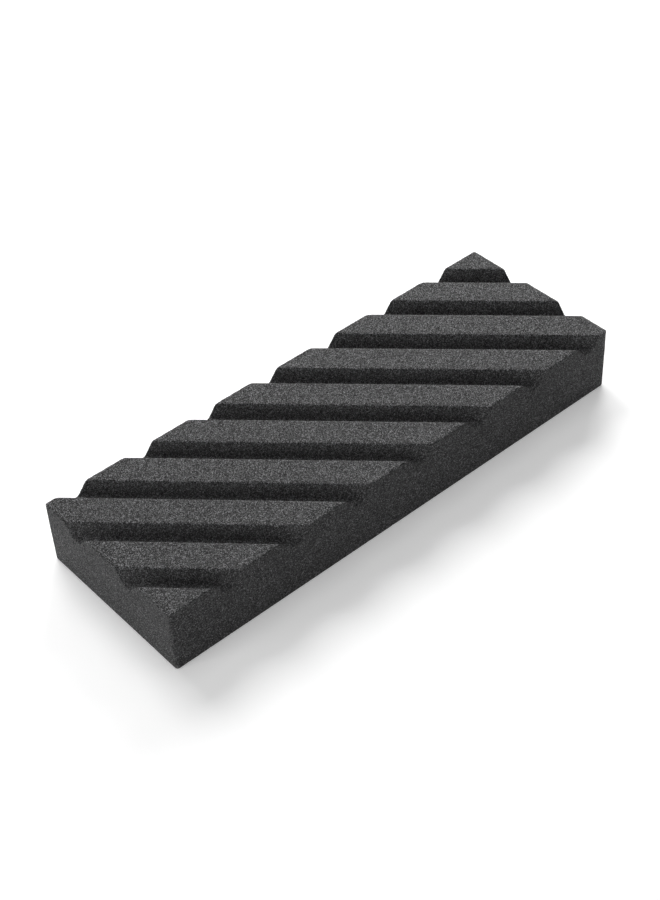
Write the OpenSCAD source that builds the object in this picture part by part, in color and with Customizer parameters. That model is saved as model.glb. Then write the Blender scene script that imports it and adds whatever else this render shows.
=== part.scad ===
// Flattening stone for whetstones: one block of coarse abrasive, moulded with
// diagonal slurry grooves across its working face and fired in one piece.
// Millimetres. Origin at the middle of the underside, +X along the length,
// +Y across the width, +Z up through the working face.

/* [Block] */
// Length of the stone
block_l = 180; // [150:1:220]
// Width of the stone
block_w = 61.4; // [50:0.1:80]
// Thickness, from the underside to the working face
block_h = 23.1; // [15:0.1:30]
// Radius of the four upright corners
corner_r = 1.0; // [0.5:0.1:4]
// Radius of the edges around the underside
under_edge_r = 0.5; // [0.2:0.1:2]
// Radius of the edges around the working face
face_edge_r = 0.4; // [0.2:0.1:1.5]

/* [Grooves] */
// Number of grooves
groove_count = 9; // [1:1:9]
// Angle between a groove and the width of the stone
groove_skew = 45; // [0:1:50]
// Distance between groove centres, measured along the length
groove_pitch = 25.1; // [18:0.1:26]
// Distance of the middle groove from the middle of the stone
groove_shift = 0.5; // [-3:0.1:3]
// Width of a groove where it meets the working face
groove_w = 7.5; // [6.5:0.1:9]
// Depth of a groove
groove_d = 4.3; // [2:0.1:4.5]
// Slope of a groove's walls, measured from the working face
wall_slope = 60; // [60:1:75]
// Radius where a wall meets the groove's floor
root_r = 1.0; // [0.3:0.1:1.1]
// Radius where a wall meets the working face
crest_r = 0.4; // [0.1:0.1:0.8]

/* [Hidden] */
$fn = 48;

// Spare height by which a cutter stands above the face that it cuts
clearance = 1;
// Half the width of the flat floor that sharp roots would leave
floor_half = groove_w / 2 - groove_d / tan(wall_slope);
// Distance from a sharp root or crest to where its rounding begins
root_tangent = root_r * tan(wall_slope / 2);
crest_tangent = crest_r * tan(wall_slope / 2);
// A groove's cutter is long enough to leave the block at both sides
cutter_l = (block_w + 4 * groove_w) / cos(groove_skew);
// Flats that make up the arc of a root or a crest
arc_flats = 6;

function arc(x, y, r, from, to) = [
    for (k = [0 : arc_flats])
        let (a = from + (to - from) * k / arc_flats)
            [x + r * cos(a), y + r * sin(a)]
];
function reversed(list) = [for (i = [len(list) - 1 : -1 : 0]) list[i]];
function mirrored(list) = [for (p = list) [-p[0], p[1]]];

// One side of a groove from the floor up, with the working face at y = 0:
// round root, straight wall, round crest, then clear of the face
groove_side = concat(
    arc(floor_half - root_tangent, root_r - groove_d, root_r, -90, wall_slope - 90),
    arc(groove_w / 2 + crest_tangent, -crest_r, crest_r, wall_slope + 90, 90),
    [[groove_w / 2 + crest_tangent, clearance]]
);

// A straight bar with the section of a groove, a trapezium with round roots
// and flared crests, laid across the block at the grooves' angle
module groove_cutter() {
    rotate([0, 0, groove_skew])
        rotate([90, 0, 0])
            linear_extrude(height = cutter_l, center = true)
                polygon(concat(groove_side, reversed(mirrored(groove_side))));
}

// A rectangle standing on y = 0 with its lower and upper corners rounded
module rounded_section(w, h, low_r, high_r) {
    polygon([
        [low_r - w / 2, 0], [w / 2 - low_r, 0],
        [w / 2, low_r], [w / 2, h - high_r],
        [w / 2 - high_r, h], [high_r - w / 2, h],
        [-w / 2, h - high_r], [-w / 2, low_r]
    ]);
    for (s = [-1, 1]) {
        translate([s * (w / 2 - low_r), low_r]) circle(r = low_r);
        translate([s * (w / 2 - high_r), h - high_r]) circle(r = high_r);
    }
}

// The plain block: its plan, its side outline and its end outline
module block() {
    intersection() {
        linear_extrude(height = block_h)
            translate([0, -block_w / 2])
                rounded_section(block_l, block_w, corner_r, corner_r);
        rotate([90, 0, 0])
            linear_extrude(height = block_w, center = true)
                rounded_section(block_l, block_h, under_edge_r, face_edge_r);
        rotate([90, 0, 90])
            linear_extrude(height = block_l, center = true)
                rounded_section(block_w, block_h, under_edge_r, face_edge_r);
    }
}

// The whole stone: the block with its row of diagonal grooves
module grooved_stone() {
    color("#3c3c3e")
        difference() {
            block();
            for (i = [0 : groove_count - 1])
                translate([groove_shift + (i - (groove_count - 1) / 2) * groove_pitch, 0, block_h])
                    groove_cutter();
        }
}

grooved_stone();
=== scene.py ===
from math import cos, pi, radians, sin, sqrt, tan

import bpy
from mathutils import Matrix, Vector


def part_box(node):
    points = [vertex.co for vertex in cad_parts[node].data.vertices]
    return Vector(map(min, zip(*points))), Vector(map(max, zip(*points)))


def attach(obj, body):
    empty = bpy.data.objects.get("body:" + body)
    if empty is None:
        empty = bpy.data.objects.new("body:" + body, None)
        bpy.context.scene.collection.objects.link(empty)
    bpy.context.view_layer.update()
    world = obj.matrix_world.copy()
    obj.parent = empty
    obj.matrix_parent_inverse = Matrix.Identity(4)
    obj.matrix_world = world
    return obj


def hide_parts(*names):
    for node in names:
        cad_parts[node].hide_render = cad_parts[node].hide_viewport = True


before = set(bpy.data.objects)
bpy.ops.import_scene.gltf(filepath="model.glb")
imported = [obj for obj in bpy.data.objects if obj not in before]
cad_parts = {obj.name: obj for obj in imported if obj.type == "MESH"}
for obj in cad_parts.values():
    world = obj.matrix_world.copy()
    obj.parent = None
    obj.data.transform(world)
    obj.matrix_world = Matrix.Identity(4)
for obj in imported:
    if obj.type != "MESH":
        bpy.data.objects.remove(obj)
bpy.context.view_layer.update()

mm = 0.001

# ---------------------------------------------------------------------------
# Where the viewer stands
# The stone lies on a light table, and is seen from above its near corner, from
# about half a metre away, with a lens a little longer than the eye's.
# ---------------------------------------------------------------------------
low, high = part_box("grooved_stone")
length = high.x - low.x
width = high.y - low.y
height = high.z

bpy.ops.object.select_all(action="DESELECT")
bpy.ops.object.camera_add(
    location=(-1.3961 * length, -1.6981 * length, 2.0820 * length),
    rotation=(radians(47.11), radians(2.48), radians(-41.245)),
)
viewer = bpy.context.object
viewer.name = "viewer"
viewer.data.lens = 67.9
viewer.data.sensor_width = 36
bpy.context.scene.camera = viewer

# ---------------------------------------------------------------------------
# The stone
# One block of coarse black silicon carbide grit in a clay binder, pressed in a
# steel mould, whose ridges leave the slanting slurry grooves, and fired hard, so
# its edges come out a little soft and crumbled.
# ---------------------------------------------------------------------------
groove_turn = radians(45)
groove_count = 9
groove_pitch = 25.1 * mm * cos(groove_turn)
groove_shift = 0.5 * mm * cos(groove_turn)
groove_width = 7.5 * mm
groove_depth = 4.3 * mm
wall_slope = radians(60)
root_radius = 1.0 * mm
crest_radius = 0.45 * mm
corner_radius = 1.0 * mm
under_radius = 0.4 * mm
mesh_step = 0.5 * mm

land_half = (groove_pitch - groove_width) / 2
floor_half = groove_width / 2 - groove_depth / tan(wall_slope)
near = 0.01 * mm


def reselect(kind, test):
    """In edit mode, selects just the vertices or edges that pass the test."""
    bpy.ops.mesh.select_mode(type=kind)
    bpy.ops.mesh.select_all(action="DESELECT")
    bpy.ops.object.mode_set(mode="OBJECT")
    mesh = bpy.context.object.data
    for item in mesh.vertices if kind == "VERT" else mesh.edges:
        item.select = test(item)
    bpy.ops.object.mode_set(mode="EDIT")


def ends(edge):
    """The two end points of an edge of the piece being modelled."""
    mesh = bpy.context.object.data
    return [mesh.vertices[i].co for i in edge.vertices]


def lies_along(edge, axis):
    """True if the edge runs along that axis, 0 for x and 1 for y."""
    a, b = ends(edge)
    return abs(b[axis] - a[axis]) > near and abs(b[1 - axis] - a[1 - axis]) < near


# A strip one pitch wide with a land down its middle: five faces across, whose
# outermost edges are the middles of two grooves
strip_length = sqrt(2) * (length + width) / 2 + 8 * mm
bpy.ops.object.select_all(action="DESELECT")
bpy.ops.mesh.primitive_grid_add(x_subdivisions=5, y_subdivisions=1, size=1)
stone = bpy.context.object
stone.name = "stone_block"
bpy.ops.object.mode_set(mode="EDIT")
columns = [(0.5, groove_pitch / 2), (0.3, groove_pitch / 2 - floor_half), (0.1, land_half)]
for was, now in columns:
    reselect("VERT", lambda v: abs(abs(v.co.x) - was) < 0.01)
    bpy.ops.transform.resize(value=(now / was, strip_length, 1), center_override=(0, 0, 0))
reselect("VERT", lambda v: abs(v.co.x) > land_half + near)
bpy.ops.transform.translate(value=(0, 0, -groove_depth))
for place, radius in ((land_half, crest_radius), (groove_pitch / 2 - floor_half, root_radius)):
    reselect("EDGE", lambda e: lies_along(e, 1) and abs(abs(ends(e)[0].x) - place) < near)
    bpy.ops.mesh.bevel(offset=radius * tan(wall_slope / 2), segments=3, affect="EDGES")


def divide(test, span):
    """Divides the edges that pass the test into equal parts no longer than mesh_step."""
    reselect("EDGE", test)
    bpy.ops.mesh.subdivide(number_cuts=max(1, round(span / mesh_step) - 1))


def across(low_x, high_x):
    """A test for edges that cross the strip between two distances from its middle."""
    def test(edge):
        places = [abs(p.x) for p in ends(edge)]
        straight = not lies_along(edge, 1)
        return straight and min(places) > low_x - near and max(places) < high_x + near
    return test


floor_edge = groove_pitch / 2 - floor_half
divide(across(0, land_half - crest_radius * tan(wall_slope / 2)), 2 * land_half)
divide(across(land_half + crest_radius / 4, floor_edge - root_radius / 4), groove_depth / sin(wall_slope))
divide(across(floor_edge + root_radius / 4, groove_pitch / 2), floor_half)
for parts in (18, 17):
    reselect("EDGE", lambda e: lies_along(e, 1))
    bpy.ops.mesh.subdivide(number_cuts=parts - 1)
bpy.ops.object.mode_set(mode="OBJECT")

# Ten strips side by side, turned to the slant of the grooves
row = stone.modifiers.new("row", "ARRAY")
row.count = groove_count + 1
row.use_relative_offset = False
row.use_constant_offset = True
row.constant_offset_displace = (groove_pitch, 0, 0)
row.use_merge_vertices = True
row.merge_threshold = near
bpy.ops.object.modifier_apply(modifier="row")
bpy.ops.object.mode_set(mode="EDIT")
bpy.ops.mesh.select_all(action="SELECT")
bpy.ops.transform.translate(value=(groove_shift - groove_count * groove_pitch / 2, 0, 0))
outer_land = groove_count * groove_pitch / 2
reselect("VERT", lambda v: abs(v.co.x - groove_shift) > outer_land)
bpy.ops.transform.resize(value=(1, 1, 0), center_override=(0, 0, 0))
bpy.ops.object.mode_set(mode="OBJECT")
stone.location.z = height
stone.rotation_euler.z = groove_turn
bpy.ops.object.transform_apply(location=True, rotation=True, scale=False)

# Cut to the plan of the block, with its four rounded corners
bpy.ops.object.mode_set(mode="EDIT")


def trim(point, normal):
    """Cuts off what lies beyond a plane."""
    bpy.ops.mesh.select_all(action="SELECT")
    bpy.ops.mesh.bisect(plane_co=point, plane_no=normal, clear_outer=True, threshold=near / 10)


for side in (-1, 1):
    trim((side * length / 2, 0, 0), (side, 0, 0))
    trim((0, side * width / 2, 0), (0, side, 0))
corner_flats = 5
for side_x in (-1, 1):
    for side_y in (-1, 1):
        for k in range(1, corner_flats):
            turn = pi / 2 * k / corner_flats
            out = Vector((side_x * cos(turn), side_y * sin(turn), 0))
            centre = Vector((
                side_x * (length / 2 - corner_radius), side_y * (width / 2 - corner_radius), 0,
            ))
            trim(centre + out * corner_radius, out)
bpy.ops.mesh.select_all(action="SELECT")
bpy.ops.mesh.remove_doubles(threshold=mesh_step / 4)
bpy.ops.object.mode_set(mode="OBJECT")

# The sides: the open edge is drawn down in short steps, then to the lower arris
side_step = 0.5 * mm
side_steps = 3
rim_top = height - groove_depth - side_steps * side_step
bpy.ops.object.mode_set(mode="EDIT")
bpy.ops.mesh.select_mode(type="EDGE")
bpy.ops.mesh.select_all(action="DESELECT")
bpy.ops.mesh.select_non_manifold(extend=False, use_wire=False, use_multi_face=False)
for step in range(side_steps):
    bpy.ops.mesh.extrude_edges_move(TRANSFORM_OT_translate={"value": (0, 0, -side_step)})
bpy.ops.mesh.extrude_edges_move(TRANSFORM_OT_translate={"value": (0, 0, -side_step)})
bpy.ops.transform.resize(value=(1, 1, 0), center_override=(0, 0, under_radius))

# The lower arris, turned under in three steps, and the underside in rings
arris_steps = 3
turns = [pi / 2 * k / arris_steps for k in range(1, arris_steps + 1)]
loops = [(under_radius * (1 - cos(turn)), under_radius * (1 - sin(turn))) for turn in turns]
loops += [(2 * mm, 0), (5 * mm, 0), (12 * mm, 0), (22 * mm, 0)]
last_inset = 0
for inset, level in loops:
    bpy.ops.mesh.extrude_edges_move(TRANSFORM_OT_translate={"value": (0, 0, -near)})
    shrink_x = (length - 2 * inset) / (length - 2 * last_inset)
    shrink_y = (width - 2 * inset) / (width - 2 * last_inset)
    bpy.ops.transform.resize(value=(shrink_x, shrink_y, 0), center_override=(0, 0, level))
    last_inset = inset
bpy.ops.mesh.edge_face_add()
bpy.ops.mesh.quads_convert_to_tris(quad_method="BEAUTY", ngon_method="BEAUTY")

# Even rows up the tall faces of the sides
tall = rim_top - under_radius
row_cuts = 12
reselect("EDGE", lambda e: abs(ends(e)[0].z - ends(e)[1].z) > tall / 2)
bpy.ops.mesh.subdivide(number_cuts=row_cuts)
bpy.ops.mesh.select_all(action="SELECT")
bpy.ops.mesh.normals_make_consistent(inside=False)
bpy.ops.object.mode_set(mode="OBJECT")

# Out of the mould every rim is a little rounded, and most of all the groove mouths
# along the two long sides
rim_band = 0.6 * mm
mouth_band = 1.2 * mm
mouth_reach = groove_width / 2 + 0.4 * mm


def inside_sides(point):
    """How far a point lies in from the nearest side of the block."""
    return min(length / 2 - abs(point.x), width / 2 - abs(point.y))


def off_groove(point):
    """How far a point lies from the middle of the nearest groove, seen from above."""
    place = point.x * cos(groove_turn) + point.y * sin(groove_turn) - groove_shift
    return abs((place + groove_pitch / 2) % groove_pitch - groove_pitch / 2)


bpy.ops.object.mode_set(mode="EDIT")
reselect("VERT", lambda v: inside_sides(v.co) < rim_band and v.co.z > rim_top + near)
bpy.ops.mesh.vertices_smooth(factor=0.5, repeat=1)
reselect(
    "VERT",
    lambda v: width / 2 - abs(v.co.y) < mouth_band
    and v.co.z > rim_top + near
    and off_groove(v.co) < mouth_reach,
)
bpy.ops.mesh.vertices_smooth(factor=0.5, repeat=2)

# The crests and rims crumble a little inwards, and the flats are only uneven
stone.vertex_groups.new(name="crumbly")
crumb_band = 0.35 * mm
reselect(
    "VERT",
    lambda v: v.co.z > rim_top
    and (inside_sides(v.co) < crumb_band or abs(off_groove(v.co) - groove_width / 2) < crumb_band),
)
bpy.ops.object.vertex_group_assign()
bpy.ops.object.mode_set(mode="OBJECT")


def wear(name, size, strength, group=""):
    """Sinks the surface by up to strength, in a pattern with lumps of that size."""
    pattern = bpy.data.textures.new(name, type="CLOUDS")
    pattern.noise_scale = size
    pattern.noise_depth = 2
    sink = stone.modifiers.new(name, "DISPLACE")
    sink.texture = pattern
    sink.texture_coords = "LOCAL"
    sink.strength = strength
    sink.mid_level = 1
    sink.vertex_group = group
    bpy.ops.object.modifier_apply(modifier=name)


wear("crumbled_edges", 1.3 * mm, 0.09 * mm, "crumbly")
wear("uneven_faces", 0.9 * mm, 0.05 * mm)
bpy.ops.object.shade_smooth()

# Fired grit: black and grey grains set in charcoal, well mottled on the open face, its brightest grains
# partly painted glints, and more even where the mould skinned the sides and, less so, the grooves, which
# are also painted darker there as shade
face_grain = 0.22 * mm
side_grain = 0.25 * mm
fired_grit = bpy.data.materials.new("fired_grit")
fired_grit.use_nodes = True
nodes, links = fired_grit.node_tree.nodes, fired_grit.node_tree.links
shader = nodes["Principled BSDF"]
place = nodes.new("ShaderNodeTexCoord").outputs["Object"]


def ease(value, start, end, low=0.0, high=1.0):
    """A smooth step from low to high while the value goes from start to end."""
    node = nodes.new("ShaderNodeMapRange")
    node.interpolation_type = "SMOOTHSTEP"
    node.inputs["From Min"].default_value, node.inputs["From Max"].default_value = start, end
    node.inputs["To Min"].default_value, node.inputs["To Max"].default_value = low, high
    links.new(value, node.inputs["Value"])
    return node.outputs["Result"]


def combine(operation, first, second=None):
    """One step of arithmetic on one or two sockets."""
    node = nodes.new("ShaderNodeMath")
    node.operation = operation
    links.new(first, node.inputs[0])
    if second:
        links.new(second, node.inputs[1])
    return node.outputs["Value"]


def blend(data_type, share, first, second):
    """Mixes two sockets, colours or numbers, by a share of the second."""
    node = nodes.new("ShaderNodeMix")
    node.data_type = data_type
    slots = {"FLOAT": (2, 3, 0), "RGBA": (6, 7, 2)}[data_type]
    links.new(share, node.inputs["Factor"])
    links.new(first, node.inputs[slots[0]])
    links.new(second, node.inputs[slots[1]])
    return node.outputs[slots[2]]


def grit(size, shades):
    """Packed grains of one size: each has a shade and two random numbers of its own."""
    grains = nodes.new("ShaderNodeTexVoronoi")
    grains.inputs["Scale"].default_value = 1 / size
    links.new(place, grains.inputs["Vector"])
    numbers = nodes.new("ShaderNodeSeparateColor")
    links.new(grains.outputs["Color"], numbers.inputs["Color"])
    ramp = nodes.new("ShaderNodeValToRGB")
    links.new(numbers.outputs["Red"], ramp.inputs["Fac"])
    marks = ramp.color_ramp.elements
    marks[0].position, marks[1].position = shades[0][0], shades[-1][0]
    for position, _ in shades[1:-1]:
        marks.new(position)
    for mark, (_, grey) in zip(marks, shades):
        mark.color = (grey, grey, grey * 1.02, 1)
    return ramp.outputs["Color"], numbers.outputs["Green"], numbers.outputs["Blue"]


split = nodes.new("ShaderNodeSeparateXYZ")
links.new(place, split.inputs["Vector"])
near_end = ease(combine("ABSOLUTE", split.outputs["X"]), length / 2 - 1.0 * mm, length / 2 - 0.2 * mm)
near_side = ease(combine("ABSOLUTE", split.outputs["Y"]), width / 2 - 1.0 * mm, width / 2 - 0.2 * mm)
below_face = ease(split.outputs["Z"], height - 0.1 * mm, height - 0.5 * mm)
# Painted shade: the sides fully, and the grooves and underside in part, get the darker skinned grit,
# besides the mould skin's even grain
mould_skin_and_side_shade = ease(combine("MAXIMUM", near_end, near_side), 0, 1, 0.4, 1)
skin_and_painted_shade = combine("MULTIPLY", mould_skin_and_side_shade, below_face)

# Painted glints: the open grit's brightest grains stand in for glinting crystal facets, beside its own
# black and grey mottle
open_grit_and_glints = grit(face_grain, [(0.0, 0.001), (0.45, 0.018), (0.8, 0.092), (1.0, 0.26)])
# Skinned grit: even grain from the mould skin, and painted darker than the open grit as shade
skinned_grit_painted_dark = grit(side_grain, [(0.0, 0.002), (0.5, 0.028), (0.9, 0.085), (1.0, 0.18)])
links.new(blend("RGBA", skin_and_painted_shade, open_grit_and_glints[0], skinned_grit_painted_dark[0]), shader.inputs["Base Color"])
links.new(ease(open_grit_and_glints[1], 0, 1, 0.55, 0.95), shader.inputs["Roughness"])
shader.inputs["Specular IOR Level"].default_value = 0.2
relief = nodes.new("ShaderNodeBump")
relief.inputs["Strength"].default_value = 0.6
links.new(ease(skin_and_painted_shade, 0, 1, 0.30 * mm, 0.12 * mm), relief.inputs["Distance"])
links.new(blend("FLOAT", skin_and_painted_shade, open_grit_and_glints[2], skinned_grit_painted_dark[2]), relief.inputs["Height"])
links.new(relief.outputs["Normal"], shader.inputs["Normal"])
stone.data.materials.append(fired_grit)

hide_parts("grooved_stone")
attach(stone, "root")

# ---------------------------------------------------------------------------
# The light table
# A plain table topped with opal glass. It glows faintly under the stone,
# where the lamps light it as well, and more towards its far rim.
# ---------------------------------------------------------------------------
bpy.ops.object.select_all(action="DESELECT")
bpy.ops.mesh.primitive_plane_add(size=40 * length, location=(0, 0, 0))
floor = bpy.context.object
floor.name = "light_table"
opal_glass = bpy.data.materials.new("opal_glass")
opal_glass.use_nodes = True
nodes, links = opal_glass.node_tree.nodes, opal_glass.node_tree.links
surface = nodes["Principled BSDF"]
surface.inputs["Base Color"].default_value = (0.92, 0.92, 0.92, 1)
surface.inputs["Roughness"].default_value = 0.9
surface.inputs["Specular IOR Level"].default_value = 0
surface.inputs["Emission Color"].default_value = (1, 1, 1, 1)
from_stone = nodes.new("ShaderNodeVectorMath")
from_stone.operation = "LENGTH"
links.new(nodes.new("ShaderNodeTexCoord").outputs["Object"], from_stone.inputs[0])
glow = ease(from_stone.outputs["Value"], 2 * length, 8 * length, 0.26, 0.6)
links.new(glow, surface.inputs["Emission Strength"])
floor.data.materials.append(opal_glass)

# ---------------------------------------------------------------------------
# The light
# Three soft lamps stand behind the stone and off its left end, with a faint one
# overhead, in a room whose pale walls fade to a dark ceiling.
# ---------------------------------------------------------------------------
lamp_distance = 1.2


def softbox(name, bearing, lift, size, power):
    """A square soft light at a bearing from x and a lift above the table, both angles."""
    out = Vector((cos(bearing) * cos(lift), sin(bearing) * cos(lift), sin(lift)))
    bpy.ops.object.light_add(type="AREA", location=out * lamp_distance)
    lamp = bpy.context.object
    lamp.name = name
    lamp.rotation_euler = out.to_track_quat("Z", "Y").to_euler()
    lamp.data.shape = "SQUARE"
    lamp.data.size = size
    lamp.data.energy = power


softbox("right_lamp", radians(40), radians(26), 0.6, 10.7)
softbox("back_lamp", radians(80), radians(45), 0.6, 8.2)
softbox("left_lamp", radians(172), radians(17), 0.6, 5.6)
softbox("top_lamp", 0, radians(90), 0.8, 3.1)

room = bpy.data.worlds.new("pale_walls")
room.use_nodes = True
nodes, links = room.node_tree.nodes, room.node_tree.links
nodes["Background"].inputs["Color"].default_value = (1, 1, 1, 1)
split = nodes.new("ShaderNodeSeparateXYZ")
links.new(nodes.new("ShaderNodeTexCoord").outputs["Generated"], split.inputs["Vector"])
glow = ease(split.outputs["Z"], sin(radians(4)), sin(radians(30)), 0.7, 0.05)
links.new(glow, nodes["Background"].inputs["Strength"])
bpy.context.scene.world = room
bpy.context.scene.view_settings.view_transform = "Standard"
